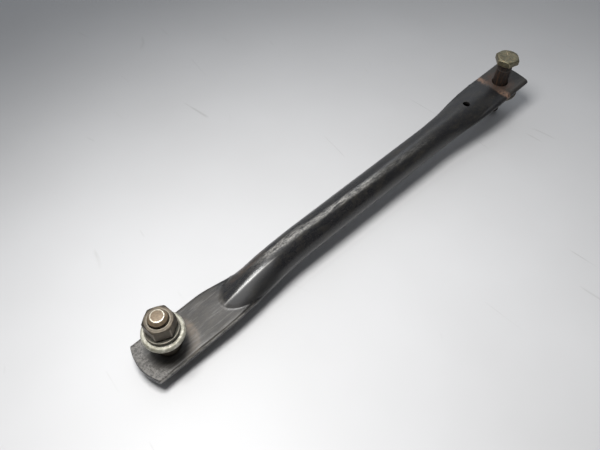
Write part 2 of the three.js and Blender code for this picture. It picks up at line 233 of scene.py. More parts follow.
def pressed_tube_tree():
    """A round tube pressed flat at both ends, with an arched crease where each flat begins."""
    sizes = {
        "Tube radius": TUBE_R, "Tab half thickness": TAB_HALF_T, "Tab half width": TAB_HALF_W,
        "Hole pitch": HOLE_PITCH, "Near axis rise": NEAR_AXIS_RISE, "Far axis rise": FAR_AXIS_RISE,
        "Far rise": FAR_RISE, "Crease softness": CREASE_SOFTNESS, "Material": None,
    }
    tree, n, material, made = new_tree("pressed tube", sizes)
    mesh, u, v = grid_uv(tree, BAR_STATIONS, BAR_AROUND)
    tube, thick, wide = n["Tube radius"], n["Tab half thickness"], n["Tab half width"]
    pitch, far_rise = n["Hole pitch"], n["Far rise"]

    row = u * (BAR_STATIONS - 1.0)
    back = (BAR_STATIONS - 1.0) - row
    inner = ((row - END_ROWS) / (BAR_STATIONS - 1.0 - 2 * END_ROWS)).clamped()
    packed = inner - (inner * math.tau).op("SINE") * (0.55 / math.tau)   # closer together at the ends
    start, finish = NEAR_CORNER + SEAM_IN, pitch + (FAR_OVERHANG - SEAM_IN)
    straight_x = packed * (finish - start) + start

    def end_push(count):
        k = count + 0.5
        first, second, third, fourth = (1.0 - k.above(row_end) for row_end in (1.0, 2.0, 3.0, 4.0))
        return first * -0.65 + second * -0.05 + third * 0.30 + fourth * 0.15

    def end_flat(count):
        k = count + 0.5
        return k.above(1.0) * 0.14 + k.above(2.0) * 0.66 + k.above(3.0) * 0.20

    angle = v * math.tau
    law_x = straight_x
    cosine = angle.op("COSINE")

    def near_width(slim):
        return wide + (tube - wide) * ((law_x - NEAR_NARROW) / (slim - NEAR_NARROW)).smooth()

    far_narrow, far_round, far_nose = pitch + FAR_NARROW, pitch + FAR_ROUND, pitch + FAR_NOSE
    far_t = (far_narrow - law_x) / (FAR_NARROW - FAR_ROUND)
    far_w = wide + (tube - wide) * far_t.smooth()
    half_front, half_behind = near_width(NEAR_SLIM).most(far_w), near_width(NEAR_SLIM_BEHIND).most(far_w)
    half_w = half_behind + (half_front - half_behind) * cosine.above(0.0)
    near_s = ((law_x - NEAR_NOSE) / (NEAR_ROUND - NEAR_NOSE)).clamped()
    far_s = ((far_nose - law_x) / (FAR_NOSE - FAR_ROUND)).clamped()
    downhill = ((law_x - NEAR_LIFT_TO) / (far_round - NEAR_LIFT_TO)).clamped()
    axis = n["Near axis rise"] + (n["Far axis rise"] - n["Near axis rise"]) * downhill
    climb = ((law_x - NEAR_LIFT_FROM) / (NEAR_LIFT_TO - NEAR_LIFT_FROM)).smooth()
    rise = axis * climb + (far_rise - axis) * (1.0 - far_s.smooth())
    rise = rise * law_x.above(NEAR_LIFT_FROM)

    def bullet(distance, length, half, spread_over):
        short = 1.0 - (distance / length).clamped()
        nose = (1.0 - short * short).most(0.0).op("SQRT")
        grown = ((distance - length) / spread_over).smooth() * (TUBE_R + 4.0 - half)
        return nose * half + grown

    near_b = bullet(law_x - NEAR_NOSE, NEAR_CREASE_LEN, NEAR_CREASE_HALF, 8.0)
    far_b = bullet(far_nose - law_x, FAR_CREASE_LEN, FAR_CREASE_HALF, 20.0)
    y = cosine * half_w
    crest = (1.0 - near_s.smooth()) * NEAR_CREST_Y
    from_crest = y - crest
    room = half_behind + crest + (half_front - half_behind - crest * 2.0) * from_crest.above(0.0)
    bulge = near_b.least(far_b).least(room).most(0.01)

    def ease(s):
        return 1.0 - (1.0 - s) * (1.0 - s)

    height = thick + (tube - thick) * ease(near_s).least(ease(far_s))
    near_power = 0.75 - (near_s * 1.15).clamped() * 0.25
    far_power = 1.2 - (far_s * 1.15).clamped() * 0.7
    power = near_power.most(far_power)

    away = from_crest.op("ABSOLUTE")
    edge = (y.op("ABSOLUTE") - (half_w - thick)).most(0.0)
    flange = (thick * thick - edge * edge).most(0.0).op("SQRT")
    share = (room - bulge).clamped()
    foot = thick * share
    roundness = 1.25 + (near_s * 1.3).clamped() * 0.75           # the near crest starts as a ridge
    inside = (1.0 - (away / bulge) ** roundness).most(0.0)
    before = (NEAR_NOSE - law_x).most(0.0).most(law_x - far_nose)
    dome = foot + (height - foot) * (inside ** power) - (away - bulge).most(0.0) * 0.9 - before * 0.9
    tall = flange.op("SMOOTH_MAX", dome, n["Crease softness"] * share)
    side = angle.op("SINE").op("SIGN")
    flat = end_flat(row) * end_flat(back)
    z = rise + side * tall * flat

    bow = 1.0 - (y / wide) * (y / wide)
    near_pull = ((-4.0 - law_x) / 10.0).clamped() * bow * NEAR_BULGE
    far_pull = ((law_x - (pitch + 8.0)) / 7.0).clamped() * bow * FAR_BULGE
    x = straight_x - near_pull + far_pull - end_push(row) + end_push(back)
    # the pressed tabs are never quite flat: a shallow hammered wave, gone where the tube is round
    wave = (law_x * 0.21 + y * 0.16).op("SINE") * 0.10 + (law_x * 0.09 - y * 0.31).op("SINE") * 0.08
    z = z + wave * (1.0 - near_s.least(far_s) * 3.0).clamped()
    close_tree(tree, put_at(tree, mesh, x, y, z), material, made, 0.002)
    return tree


def threaded_rod_tree():
    """A closed rod with a rolled thread between two heights, and a chamfer at each end."""
    sizes = {
        "Radius": THREAD_R, "Bottom": 0.0, "Top": 30.0, "Thread from": 0.0, "Thread to": 30.0,
        "Pitch": THREAD_PITCH, "Depth": THREAD_DEPTH, "Chamfer": TIP_CHAMFER, "Material": None,
    }
    tree, n, material, made = new_tree("threaded rod", sizes)
    rows, around = 321, 49
    mesh, u, v = grid_uv(tree, rows, around)
    row = u * (rows - 1.0)
    back = (rows - 1.0) - row
    inner = ((row - 2.0) / (rows - 5.0)).clamped()
    z = n["Bottom"] + (n["Top"] - n["Bottom"]) * inner
    angle = v * math.tau
    turn = (z / n["Pitch"] - v)
    tooth = ((turn - turn.op("FLOOR")) * 2.0 - 1.0).op("ABSOLUTE")
    tooth = (tooth * 1.5 - 0.25).clamped()                      # flat crests and roots
    cut = ((z - n["Thread from"]) / n["Pitch"]).clamped() * ((n["Thread to"] - z) / n["Pitch"]).clamped()
    chamfer = (n["Chamfer"] - (z - n["Bottom"])).most(n["Chamfer"] - (n["Top"] - z)).most(0.0)
    radius = (n["Radius"] - tooth * cut * n["Depth"]).least(n["Radius"] - chamfer)
    open_near = row.above(0.5) * (1.0 - (1.0 - row.above(1.5)) * 0.25)
    open_far = back.above(0.5) * (1.0 - (1.0 - back.above(1.5)) * 0.25)
    radius = radius * open_near * open_far
    lift = (1.0 - row.above(1.5)) * -0.10 + (1.0 - back.above(1.5)) * 0.10
    made_mesh = put_at(tree, mesh, radius * angle.op("COSINE"), radius * angle.op("SINE"), z + lift)
    close_tree(tree, made_mesh, material, made, 0.002)
    return tree


def split_ring_tree():
    """A square-section spring ring: a short helix with a slanted gap."""
    sizes = {
        "Mid radius": 7.0, "Half width": 1.6, "Half height": 1.2, "Gap angle": 0.2,
        "Gap slant": 0.35, "Spring": 0.25, "Gap at": math.radians(60.0), "Material": None,
    }
    tree, n, material, made = new_tree("split ring", sizes)
    along, around = 97, 33
    mesh, u, v = grid_uv(tree, along, around)
    row = u * (along - 1.0)
    back = (along - 1.0) - row
    inner = ((row - 2.0) / (along - 5.0)).clamped()
    corner = v * math.tau
    cos, sin = corner.op("COSINE"), corner.op("SINE")
    squareness = ((cos.op("ABSOLUTE") ** 7.0) + (sin.op("ABSOLUTE") ** 7.0)) ** (-1.0 / 7.0)
    shrink = (row.above(0.5) * (0.9 + row.above(1.5) * 0.1)) * (back.above(0.5) * (0.9 + back.above(1.5) * 0.1))
    out = cos * squareness * n["Half width"] * shrink
    up = sin * squareness * n["Half height"] * shrink
    open_angle = n["Gap angle"]
    turn = n["Gap at"] + open_angle * 0.5 + (math.tau - open_angle) * inner
    turn = turn - up * n["Gap slant"] / n["Mid radius"] * (((inner - 0.5) * 2.0).op("ABSOLUTE") ** 6.0)
    tip = (1.0 - row.above(1.5)) * -0.012 + (1.0 - back.above(1.5)) * 0.012
    turn = turn + tip
    radius = n["Mid radius"] + out
    z = up + (inner - 0.5) * n["Spring"]
    made_mesh = put_at(tree, mesh, radius * turn.op("COSINE"), radius * turn.op("SINE"), z)
    close_tree(tree, made_mesh, material, made, 0.002)
    return tree


# ---------------------------------------------------------------- plain mesh makers

def lathe(profile, x=0.0, around=96, hollow=False, wobble=0.0):
    """A closed turned solid through (radius, z) points. A hollow one goes round its section and back."""
    bm = bmesh.new()
    rings = []
    for radius, z in profile:
        if radius <= 1e-6:
            rings.append([bm.verts.new((x, 0.0, z))])
            continue
        ring = []
        for i in range(around):
            a = math.tau * i / around
            r = radius * (1.0 + wobble * (math.sin(3 * a + 0.7) + 0.6 * math.sin(7 * a)))
            ring.append(bm.verts.new((x + r * math.cos(a), r * math.sin(a), z)))
        rings.append(ring)
    pairs = list(zip(rings, rings[1:])) + ([(rings[-1], rings[0])] if hollow else [])
    for low, high in pairs:
        for i in range(around):
            j = (i + 1) % around
            if len(low) == 1:
                bm.faces.new((low[0], high[i], high[j]))
            elif len(high) == 1:
                bm.faces.new((low[i], high[0], low[j]))
            else:
                bm.faces.new((low[i], high[i], high[j], low[j]))
    bmesh.ops.recalc_face_normals(bm, faces=bm.faces)
    mesh = bpy.data.meshes.new("turned")
    bm.to_mesh(mesh)
    bm.free()
    return mesh


def hex_radius(angle, turn):
    """Distance from the axis to a hexagon's side, its corners worn a little round."""
    sharp = 70.0
    total = sum(max(0.0, math.cos(angle - turn - math.pi / 6 - k * math.pi / 3)) ** sharp for k in range(6))
    return HEX_FLATS / 2 / total ** (1.0 / sharp)


def hex_block(x, bottom, height, turn_deg, chamfer_top, chamfer_bottom, bore=0.0, washer_face=0.0, dish=0.0):
    """A hexagon nut or head with turned chamfers, softened edges and, for a nut, its bore."""
    around = 192
    turn = math.radians(turn_deg)
    top = bottom + height
    rim = HEX_FLATS / 2 - 0.25
    slope = math.tan(math.radians(30.0))

    def end_rows(chamfered, face_z, inward):
        """From the side's end to the bore or the centre; inward is -1 for the top and 1 for the bottom."""
        rows = []
        drop = (lambda r: max(0.0, r - rim) * slope) if chamfered else (lambda r: 0.0)
        rows.append((lambda r: r, lambda r: face_z + inward * (drop(r) + 0.30)))
        rows.append((lambda r: r - 0.02, lambda r: face_z + inward * (drop(r) + 0.12)))
        rows.append((lambda r: r - 0.10, lambda r: face_z + inward * (drop(r) + 0.02)))
        for share in (0.22, 0.5, 0.75):
            rows.append((lambda r, s=share: r - 0.10 - (r - 0.10 - rim) * s,
                         lambda r, s=share: face_z + inward * drop(r - (r - rim) * s)))
        rows.append((lambda r: rim, lambda r: face_z + inward * 0.04))
        rows.append((lambda r: rim - 0.22, lambda r: face_z))
        inner = bore + 0.28 if bore else 2.6
        rows.append((lambda r: (rim + inner) / 2, lambda r: face_z))
        rows.append((lambda r: inner, lambda r: face_z + inward * dish * 0.6))
        if bore:
            rows.append((lambda r: bore, lambda r: face_z + inward * 0.28))
        return rows

    bm = bmesh.new()
    up = end_rows(chamfer_top, top, -1.0)
    down = end_rows(chamfer_bottom, bottom, 1.0)
    rows = list(reversed(down)) + up
    rings = []
    for radial, level in rows:
        ring = []
        for i in range(around):
            a = math.tau * i / around
            r_hex = hex_radius(a, turn)
            r = radial(r_hex)
            ring.append(bm.verts.new((x + r * math.cos(a), r * math.sin(a), level(r_hex))))
        rings.append(ring)
    if bore:
        pairs = list(zip(rings, rings[1:])) + [(rings[-1], rings[0])]
    else:
        pairs = list(zip(rings, rings[1:]))
    for low, high in pairs:
        for i in range(around):
            j = (i + 1) % around
            bm.faces.new((low[i], low[j], high[j], high[i]))
    if not bore:
        for ring, z in ((rings[0], bottom + dish), (rings[-1], top - dish)):
            centre = bm.verts.new((x, 0.0, z))
            for i in range(around):
                bm.faces.new((ring[i], ring[(i + 1) % around], centre))
    bmesh.ops.recalc_face_normals(bm, faces=bm.faces)
    mesh = bpy.data.meshes.new("hex block")
    bm.to_mesh(mesh)
    bm.free()
    return mesh


def rounded_ring_profile(z0, outer, bore, height, round_r, bore_round=0.25):
    """The section of a flat ring with a rounded rim, from its bore and back to it."""
    steps = 8
    points = [(bore + bore_round, z0)]
    for i in range(steps + 1):
        a = -math.pi / 2 + i / steps * math.pi / 2
        points.append((outer - round_r + round_r * math.cos(a), z0 + round_r + round_r * math.sin(a)))
    for i in range(steps + 1):
        a = i / steps * math.pi / 2
        points.append((outer - round_r + round_r * math.cos(a), z0 + height - round_r + round_r * math.sin(a)))
    points.append((bore + bore_round, z0 + height))
    for i in (1, 2, 3):
        a = i / 3 * math.pi / 2
        points.append((bore + bore_round * (1 - math.sin(a)), z0 + height - bore_round * (1 - math.cos(a))))
    for i in (3, 2, 1):
        a = i / 3 * math.pi / 2
        points.append((bore + bore_round * (1 - math.sin(a)), z0 + bore_round * (1 - math.cos(a))))
    return points


def joined(name, meshes):
    """Several closed shells as one mesh."""
    bm = bmesh.new()
    for mesh in meshes:
        bm.from_mesh(mesh)
    mesh = bpy.data.meshes.new(name)
    bm.to_mesh(mesh)
    bm.free()
    return mesh


def faced_outward(mesh):
    """The same mesh with every face turned outwards."""
    bm = bmesh.new()
    bm.from_mesh(mesh)
    bmesh.ops.recalc_face_normals(bm, faces=bm.faces)
    bm.to_mesh(mesh)
    bm.free()
    return mesh


def moved(mesh, x=0.0, y=0.0, z=0.0):
    mesh.transform(Matrix.Translation((x, y, z)))
    return mesh


def finish_piece(name, mesh, material, body, node, sharp_deg=38.0):
    """Puts a piece in its place in metres, smooth with crisp edges, and lets it ride on its body."""
    mesh.transform(BAR_PLACE)
    mesh.materials.clear()
    mesh.materials.append(material)
    mesh.polygons.foreach_set("use_smooth", [True] * len(mesh.polygons))
    mesh.set_sharp_from_angle(angle=math.radians(sharp_deg))
    mesh.update()
    piece = bpy.data.objects.new(name, mesh)
    bpy.context.scene.collection.objects.link(piece)
    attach(piece, body)
    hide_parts(node)
    return piece


# ---------------------------------------------------------------- materials

class Finish:
    """One material, with its pattern coordinates in millimetres about a point of the bar."""

    def __init__(self, name, centre_x=0.0):
        self.material = bpy.data.materials.new(name)
        self.material.use_nodes = True
        self.tree = self.material.node_tree
        self.shader = self.tree.nodes["Principled BSDF"]
        place = self.tree.nodes.new("ShaderNodeTexCoord")
        mapping = self.tree.nodes.new("ShaderNodeMapping")
        mapping.vector_type = "TEXTURE"
        mapping.inputs["Location"].default_value = BAR_PLACE @ Vector((centre_x, 0.0, 0.0))
        mapping.inputs["Rotation"].default_value = BAR_TURN.to_euler()
        mapping.inputs["Scale"].default_value = (MM, MM, MM)
        self.tree.links.new(place.outputs["Object"], mapping.inputs["Vector"])
        self.spot = mapping.outputs[0]
        split = self.tree.nodes.new("ShaderNodeSeparateXYZ")
        self.tree.links.new(self.spot, split.inputs[0])
        self.x, self.y, self.z = (Num(self.tree, out) for out in split.outputs)

    def stretched(self, sx, sy, sz):
        node = self.tree.nodes.new("ShaderNodeVectorMath")
        node.operation = "MULTIPLY"
        self.tree.links.new(self.spot, node.inputs[0])
        node.inputs[1].default_value = (sx, sy, sz)
        return node.outputs[0]

    def noise(self, per_mm, detail=4.0, rough=0.55, stretch=None, distort=0.0):
        node = self.tree.nodes.new("ShaderNodeTexNoise")
        node.inputs["Scale"].default_value = per_mm
        node.inputs["Detail"].default_value = detail
        node.inputs["Roughness"].default_value = rough
        node.inputs["Distortion"].default_value = distort
        self.tree.links.new(self.stretched(*stretch) if stretch else self.spot, node.inputs["Vector"])
        return Num(self.tree, node.outputs["Fac"])

    def cells(self, per_mm, stretch=None, randomness=1.0):
        node = self.tree.nodes.new("ShaderNodeTexVoronoi")
        node.inputs["Scale"].default_value = per_mm
        node.inputs["Randomness"].default_value = randomness
        self.tree.links.new(self.stretched(*stretch) if stretch else self.spot, node.inputs["Vector"])
        return Num(self.tree, node.outputs["Distance"])

    def mix(self, share, a, b):
        node = self.tree.nodes.new("ShaderNodeMix")
        node.data_type = "RGBA"
        feed(self.tree, node.inputs[0], share)
        for slot, value in ((node.inputs[6], a), (node.inputs[7], b)):
            if isinstance(value, bpy.types.NodeSocket):
                self.tree.links.new(value, slot)
            else:
                slot.default_value = value
        return node.outputs[2]

    def facing(self):
        """How much the surface faces up the bolts, from -1 to 1."""
        geometry = self.tree.nodes.new("ShaderNodeNewGeometry")
        dot = self.tree.nodes.new("ShaderNodeVectorMath")
        dot.operation = "DOT_PRODUCT"
        self.tree.links.new(geometry.outputs["Normal"], dot.inputs[0])
        dot.inputs[1].default_value = BOLT_AXIS
        return Num(self.tree, dot.outputs["Value"])

    def worn_edges(self, low=0.52, high=0.60):
        geometry = self.tree.nodes.new("ShaderNodeNewGeometry")
        return (Num(self.tree, geometry.outputs["Pointiness"]) - low) / (high - low)

    def bump(self, height, depth_mm, strength=1.0, under=None):
        node = self.tree.nodes.new("ShaderNodeBump")
        node.inputs["Strength"].default_value = strength
        node.inputs["Distance"].default_value = depth_mm * MM
        feed(self.tree, node.inputs["Height"], height)
        if under is not None:
            self.tree.links.new(under, node.inputs["Normal"])
        return node.outputs[0]

    def done(self, colour, roughness, metallic, normal=None, specular=0.5, coat=0.0):
        feed(self.tree, self.shader.inputs["Base Color"], colour)
        feed(self.tree, self.shader.inputs["Roughness"], roughness)
        feed(self.tree, self.shader.inputs["Metallic"], metallic)
        self.shader.inputs["Specular IOR Level"].default_value = specular
        if coat:
            self.shader.inputs["Coat Weight"].default_value = coat
            self.shader.inputs["Coat Roughness"].default_value = 0.25
        if normal is not None:
            self.tree.links.new(normal, self.shader.inputs["Normal"])
        return self.material


def srgb(red, green, blue):
    """A colour given 0 to 255, as the light it reflects."""
    def light(c):
        c /= 255.0
        return c / 12.92 if c <= 0.04045 else ((c + 0.055) / 1.055) ** 2.4
    return (light(red), light(green), light(blue), 1.0)


def black_tube_paint():
    """Thin semi-gloss black paint: dusty, scuffed along the top, rubbed brown on the tabs, rust by the far crease. It
    also carries painted light: a painted highlight along the top and the near crest, painted shade on the near bulge's
    lower flank, and painted reflection lines along the tab edges.
    """
    f = Finish("worn_black_paint")
    from_far = f.x - HOLE_PITCH
    up = f.facing()
    across = f.y.op("ABSOLUTE")
    long_ways = (0.22, 1.0, 1.0)
    cloud = f.noise(0.05, 4.0, 0.6, (1.0, 1.8, 1.8))
    blotch = f.noise(0.22, 6.0, 0.66, (0.6, 1.2, 1.2), 0.4)
    grit = f.noise(1.1, 5.0, 0.72)
    fine = f.noise(3.0, 3.0, 0.75)
    drawn = f.noise(0.9, 5.0, 0.72, long_ways)
    black, dusty = srgb(26, 26, 28), srgb(58, 54, 45)
    brown, grey, bare = srgb(76, 71, 64), srgb(132, 129, 125), srgb(176, 173, 167)
    rust, pale_rust = srgb(84, 56, 40), srgb(134, 106, 88)

    base = f.mix(((blotch - 0.47) * 4.0).clamped() * (cloud * 1.6 - 0.2).clamped() * 0.9, black, dusty)
    base = f.mix(((grit - 0.54) * 8.0).clamped() * 0.42, base, brown)
    base = f.mix(((fine - 0.62) * 9.0).clamped() * 0.40, base, grey)

    # light scuffs along the top of the tube, two streaks at the near bulge; they are also a painted highlight, laid
    # where the tube's top and the bulge catch the light
    wander = (f.noise(0.035, 2.0, 0.5, (1.0, 0.0, 0.0)) - 0.5) * 3.0
    one = (f.y - 0.2 + (f.x - 88.0) * 0.035 + wander * 0.6).band(-1.5, 1.5, 2.4)
    two = (f.y - 2.6 + wander * 0.5).band(-0.7, 0.7, 1.6) * f.x.band(46.0, 92.0, 14.0) * 0.8
    fade = f.x.band(64.0, 150.0, 26.0) + f.x.band(140.0, 196.0, 40.0) * 0.3
    scuff_streak_and_highlight = (one + two).clamped() * fade.clamped() * f.z.above(2.6)
    flakes = ((drawn - 0.36) * 4.0).clamped() * ((grit - 0.30) * 4.0).clamped()
    scuffs_and_painted_highlight = scuff_streak_and_highlight * flakes
    # painted highlight mixed with real scuffs: the pale streak also stands for the glint of the light along the top
    base = f.mix(scuffs_and_painted_highlight * 0.85, base, bare)
    # a pale line along the near crest: rubbed paint, and a painted highlight where the crest catches the light
    crest_rub_and_painted_highlight = (f.y + 2.2 + (f.x - 36.0) * 0.02).band(-0.3, 0.3, 0.7) * f.x.band(34.0, 68.0, 8.0) * f.z.above(2.4)
    base = f.mix(crest_rub_and_painted_highlight * 0.55, base, bare)
    side_rub = (f.y - 5.4).band(-1.8, 1.8, 2.6) * f.x.band(44.0, 66.0, 12.0) * ((drawn - 0.42) * 4.0).clamped()
    base = f.mix(side_rub * 0.55, base, srgb(112, 92, 76))

    # the tabs: a brown film drawn out along the bar, and scuffed arcs at the near end
    near_tab = f.x.band(-40.0, 38.0, 8.0) * f.z.band(-6.0, 2.9, 0.5)
    far_tab = from_far.band(-9.0, 40.0, 3.0)
    flat_top = up.op("ABSOLUTE").above(0.6)
    film = (near_tab + far_tab).clamped() * flat_top
    smudge = ((drawn - 0.36) * 2.8).clamped()
    base = f.mix(film * (smudge * 0.50 + 0.20), base, brown)
    drawn_lines = ((f.noise(0.5, 5.0, 0.7, (0.12, 1.0, 1.0)) - 0.50) * 6.0).clamped()
    base = f.mix(film * near_tab * drawn_lines * 0.35, base, grey)
    reach = (f.x * f.x + f.y * f.y).op("SQRT")
    ring_wobble = (f.noise(0.22, 3.0, 0.6) - 0.5) * 4.0
    arc = (reach + ring_wobble).band(12.4, 19.0, 2.6) * flat_top * (1.0 - (f.x - 1.0).band(-8.0, 60.0, 6.0))
    arc_marks = ((f.noise(0.7, 5.0, 0.72) - 0.42) * 6.0).clamped()
    base = f.mix(arc * arc_marks * 0.75, base, grey)
    round_washer = reach.band(10.0, 15.5, 3.0) * flat_top * (f.x / 14.0).clamped()
    base = f.mix(round_washer * ((blotch - 0.36) * 3.0).clamped() * 0.6, base, srgb(132, 116, 98))

    # rust at the far crease and round the far bolt
    crease = (from_far + (f.noise(0.3, 3.0, 0.6) - 0.5) * 3.0).band(-10.5, -6.0, 2.6)
    at_ends = (((across - 3.0) / 7.0).clamped()) * 0.8 + 0.2
    bloom = ((f.noise(0.6, 6.0, 0.7) - 0.34) * 4.0).clamped()
    base = f.mix((crease * at_ends * bloom * 1.1).clamped(), base, pale_rust)
    far_reach = (from_far * from_far + f.y * f.y).op("SQRT")
    stain = far_reach.band(-9.0, 9.5, 5.0) * bloom * far_tab
    base = f.mix(stain * 0.6, base, rust)

    # bright wear on the edges of the tabs, over an even painted highlight along their upper rounding; below it,
    # painted reflection lines, one dark and one grey
    fold = ((across - 11.4) * 0.9).clamped() * (1.0 - f.x.band(70.0, HOLE_PITCH - 30.0, 10.0))
    film = film * (1.0 - fold)
    # painted highlight along the upper rounding of the tab edges, with chipped bright wear over it
    edge = fold * f.z.band(0.6, 1.5, 0.5)
    chipped = ((f.noise(0.5, 5.0, 0.75, (0.35, 1.0, 1.0)) - 0.44) * 7.0).clamped()
    base = f.mix(edge * (chipped * 0.5 + 0.15), base, bare)
    # painted reflection: a near-black line along the middle of each tab edge, where the rounded edge mirrors the
    # shadowed floor
    seam = fold * f.z.band(-0.55, 0.15, 0.35) * f.x.band(-20.0, 66.0, 8.0)
    base = f.mix(seam * 0.8, base, srgb(12, 12, 12))
    # painted reflection: a grey line along the lower rounding of each tab edge, standing for the bright floor mirrored
    # there
    painted_edge_reflection_line = fold * f.z.band(-1.4, -0.9, 0.4) * f.x.band(-20.0, 66.0, 8.0)
    base = f.mix(painted_edge_reflection_line * 0.5, base, grey)

    wear = (scuffs_and_painted_highlight + edge * chipped + arc * arc_marks + side_rub * 0.5).clamped()
    dulled = ((f.x - 130.0) / 90.0).smooth()
    # painted shade: the lower flank of the near bulge is darkened nearly to black; it is also made rougher
    dull_flank_painted_shade = ((f.y * -1.0 - 2.4) / 1.2).clamped() * f.x.band(24.0, 66.0, 10.0) * f.z.above(2.2)
    base = f.mix(dull_flank_painted_shade * 0.6, base, srgb(14, 14, 15))
    roughness = 0.17 + blotch * 0.16 + wear * 0.20 + film * 0.16 + fine * 0.06 + dulled * 0.16 + dull_flank_painted_shade * 0.28
    metallic = wear * 0.2
    skin = f.bump(f.noise(0.6, 3.0, 0.5), 0.07, 0.6)
    skin = f.bump(fine, 0.02, 0.6, skin)
    skin = f.bump(wear, 0.05, 0.6, skin)
    return f.done(base, roughness, metallic, skin, 0.5)


def plated_steel(name, centre_x, light, dark, stain, rough, metal,
                 grain_stretch=(1.0, 1.0, 1.0), stain_share=0.5, scratch=0.5, pitted=0.06):
    """Steel with cloudy tarnish, fine pits and bright rubbed edges."""
    f = Finish(name, centre_x)
    cloud = f.noise(0.28, 5.0, 0.65, None, 0.5)
    speckle = f.noise(2.2, 4.0, 0.7, grain_stretch)
    pits = 1.0 - (f.cells(1.6) * 2.4).clamped()
    colour = f.mix(((cloud - 0.35) * 2.6).clamped(), dark, light)
    colour = f.mix(((f.noise(0.5, 6.0, 0.7) - 0.48) * 5.0).clamped() * stain_share, colour, stain)
    colour = f.mix(((speckle - 0.55) * 6.0).clamped() * 0.25, colour, dark)
    worn = f.worn_edges().clamped()
    colour = f.mix(worn * scratch, colour, srgb(226, 216, 198))
    roughness = rough + (cloud - 0.5) * 0.3 + speckle * 0.12 - worn * 0.1
    normal = f.bump(speckle, 0.03, 0.6)
    normal = f.bump(pits, pitted, 0.4, normal)
    return f.done(colour, roughness, metal, normal, 0.5)


def near_bolt_finish():
    """The tarnished bolt: a tan end in a bright turned ring, brown threads, and a shoulder darkened with painted shade
    where it stands under the washer.
    """
    f = Finish("near_bolt_steel", 0.0)
    radius = (f.x * f.x + f.y * f.y).op("SQRT")
    cloud = f.noise(0.35, 5.0, 0.65)
    grain = f.noise(2.4, 4.0, 0.7)
    dark, olive, bright = srgb(50, 44, 37), srgb(110, 96, 76), srgb(214, 206, 188)
    colour = f.mix(((cloud - 0.34) * 2.8).clamped(), dark, olive)
    groove = ((THREAD_R - 0.12 - radius) * 3.0).clamped() * f.z.band(SHOULDER_TOP, NEAR_BOLT_TOP - 0.6, 0.3)
    colour = f.mix(groove * 0.85, colour, srgb(26, 22, 18))
    at_end = ((f.z - (NEAR_BOLT_TOP - TIP_CHAMFER - 0.2)) * 3.0).clamped()
    mottled = ((f.noise(0.8, 5.0, 0.7) - 0.36) * 3.0).clamped()
    colour = f.mix(at_end, colour, f.mix(mottled, srgb(98, 84, 67), srgb(132, 114, 91)))
    flat_r = THREAD_R - TIP_CHAMFER
    ring = (radius + (f.noise(0.9, 3.0, 0.6) - 0.5) * 0.6).band(flat_r - 0.28, flat_r + 0.25, 0.3) * at_end
    colour = f.mix((ring * (0.55 + grain)).clamped(), colour, bright)
    # painted shade: the shoulder below the washer is darkened, dulled and made less metallic, as if in the washer's
    # shadow
    low = 1.0 - ((f.z - 13.4) / 0.8).clamped()
    colour = f.mix(low * 0.85, colour, srgb(74, 66, 55))
    roughness = 0.46 + (cloud - 0.5) * 0.3 - ring * 0.1 + low * 0.2
    metallic = 0.62 - at_end * 0.35 + ring * 0.4 - low * 0.4
    normal = f.bump(grain, 0.04, 0.7)
    return f.done(colour, roughness, metallic, normal)


def far_bolt_finish():
    """Yellow-green zinc on the head, worn to a dark rusty shank with streaks along it."""
    f = Finish("far_bolt_zinc", HOLE_PITCH)
    cloud = f.noise(0.3, 5.0, 0.65, None, 0.4)
    grain = f.noise(2.0, 4.0, 0.7)
    streaks = f.noise(1.1, 4.0, 0.7, (1.0, 1.0, 0.16))
    zinc, zinc_dark, amber = srgb(132, 128, 106), srgb(96, 91, 74), srgb(150, 118, 76)
    rust_dark, rust_brown = srgb(38, 34, 32), srgb(84, 60, 44)
    colour = f.mix(((cloud - 0.36) * 2.6).clamped(), zinc_dark, zinc)
    colour = f.mix(((f.noise(0.6, 6.0, 0.7) - 0.50) * 5.0).clamped() * 0.5, colour, amber)
    worn = f.worn_edges().clamped()
    colour = f.mix(worn * 0.6, colour, srgb(214, 190, 160))
    shank = 1.0 - ((f.z - (FAR_HEAD_Z - 1.4)) / 0.5 + 0.5).smooth()
    dark = f.mix(((streaks - 0.45) * 4.0).clamped(), rust_dark, rust_brown)
    line = f.z.band(FAR_HEAD_Z - 5.6, FAR_HEAD_Z - 5.0, 0.4)
    dark = f.mix(line * 0.5, dark, srgb(96, 92, 86))
    colour = f.mix(shank, colour, dark)
    roughness = 0.40 + (cloud - 0.5) * 0.25 + shank * 0.22
    metallic = 0.85 - shank * 0.45
    normal = f.bump(grain, 0.03, 0.6)
    normal = f.bump(streaks, 0.05, 0.4, normal)
    return f.done(colour, roughness, metallic, normal)


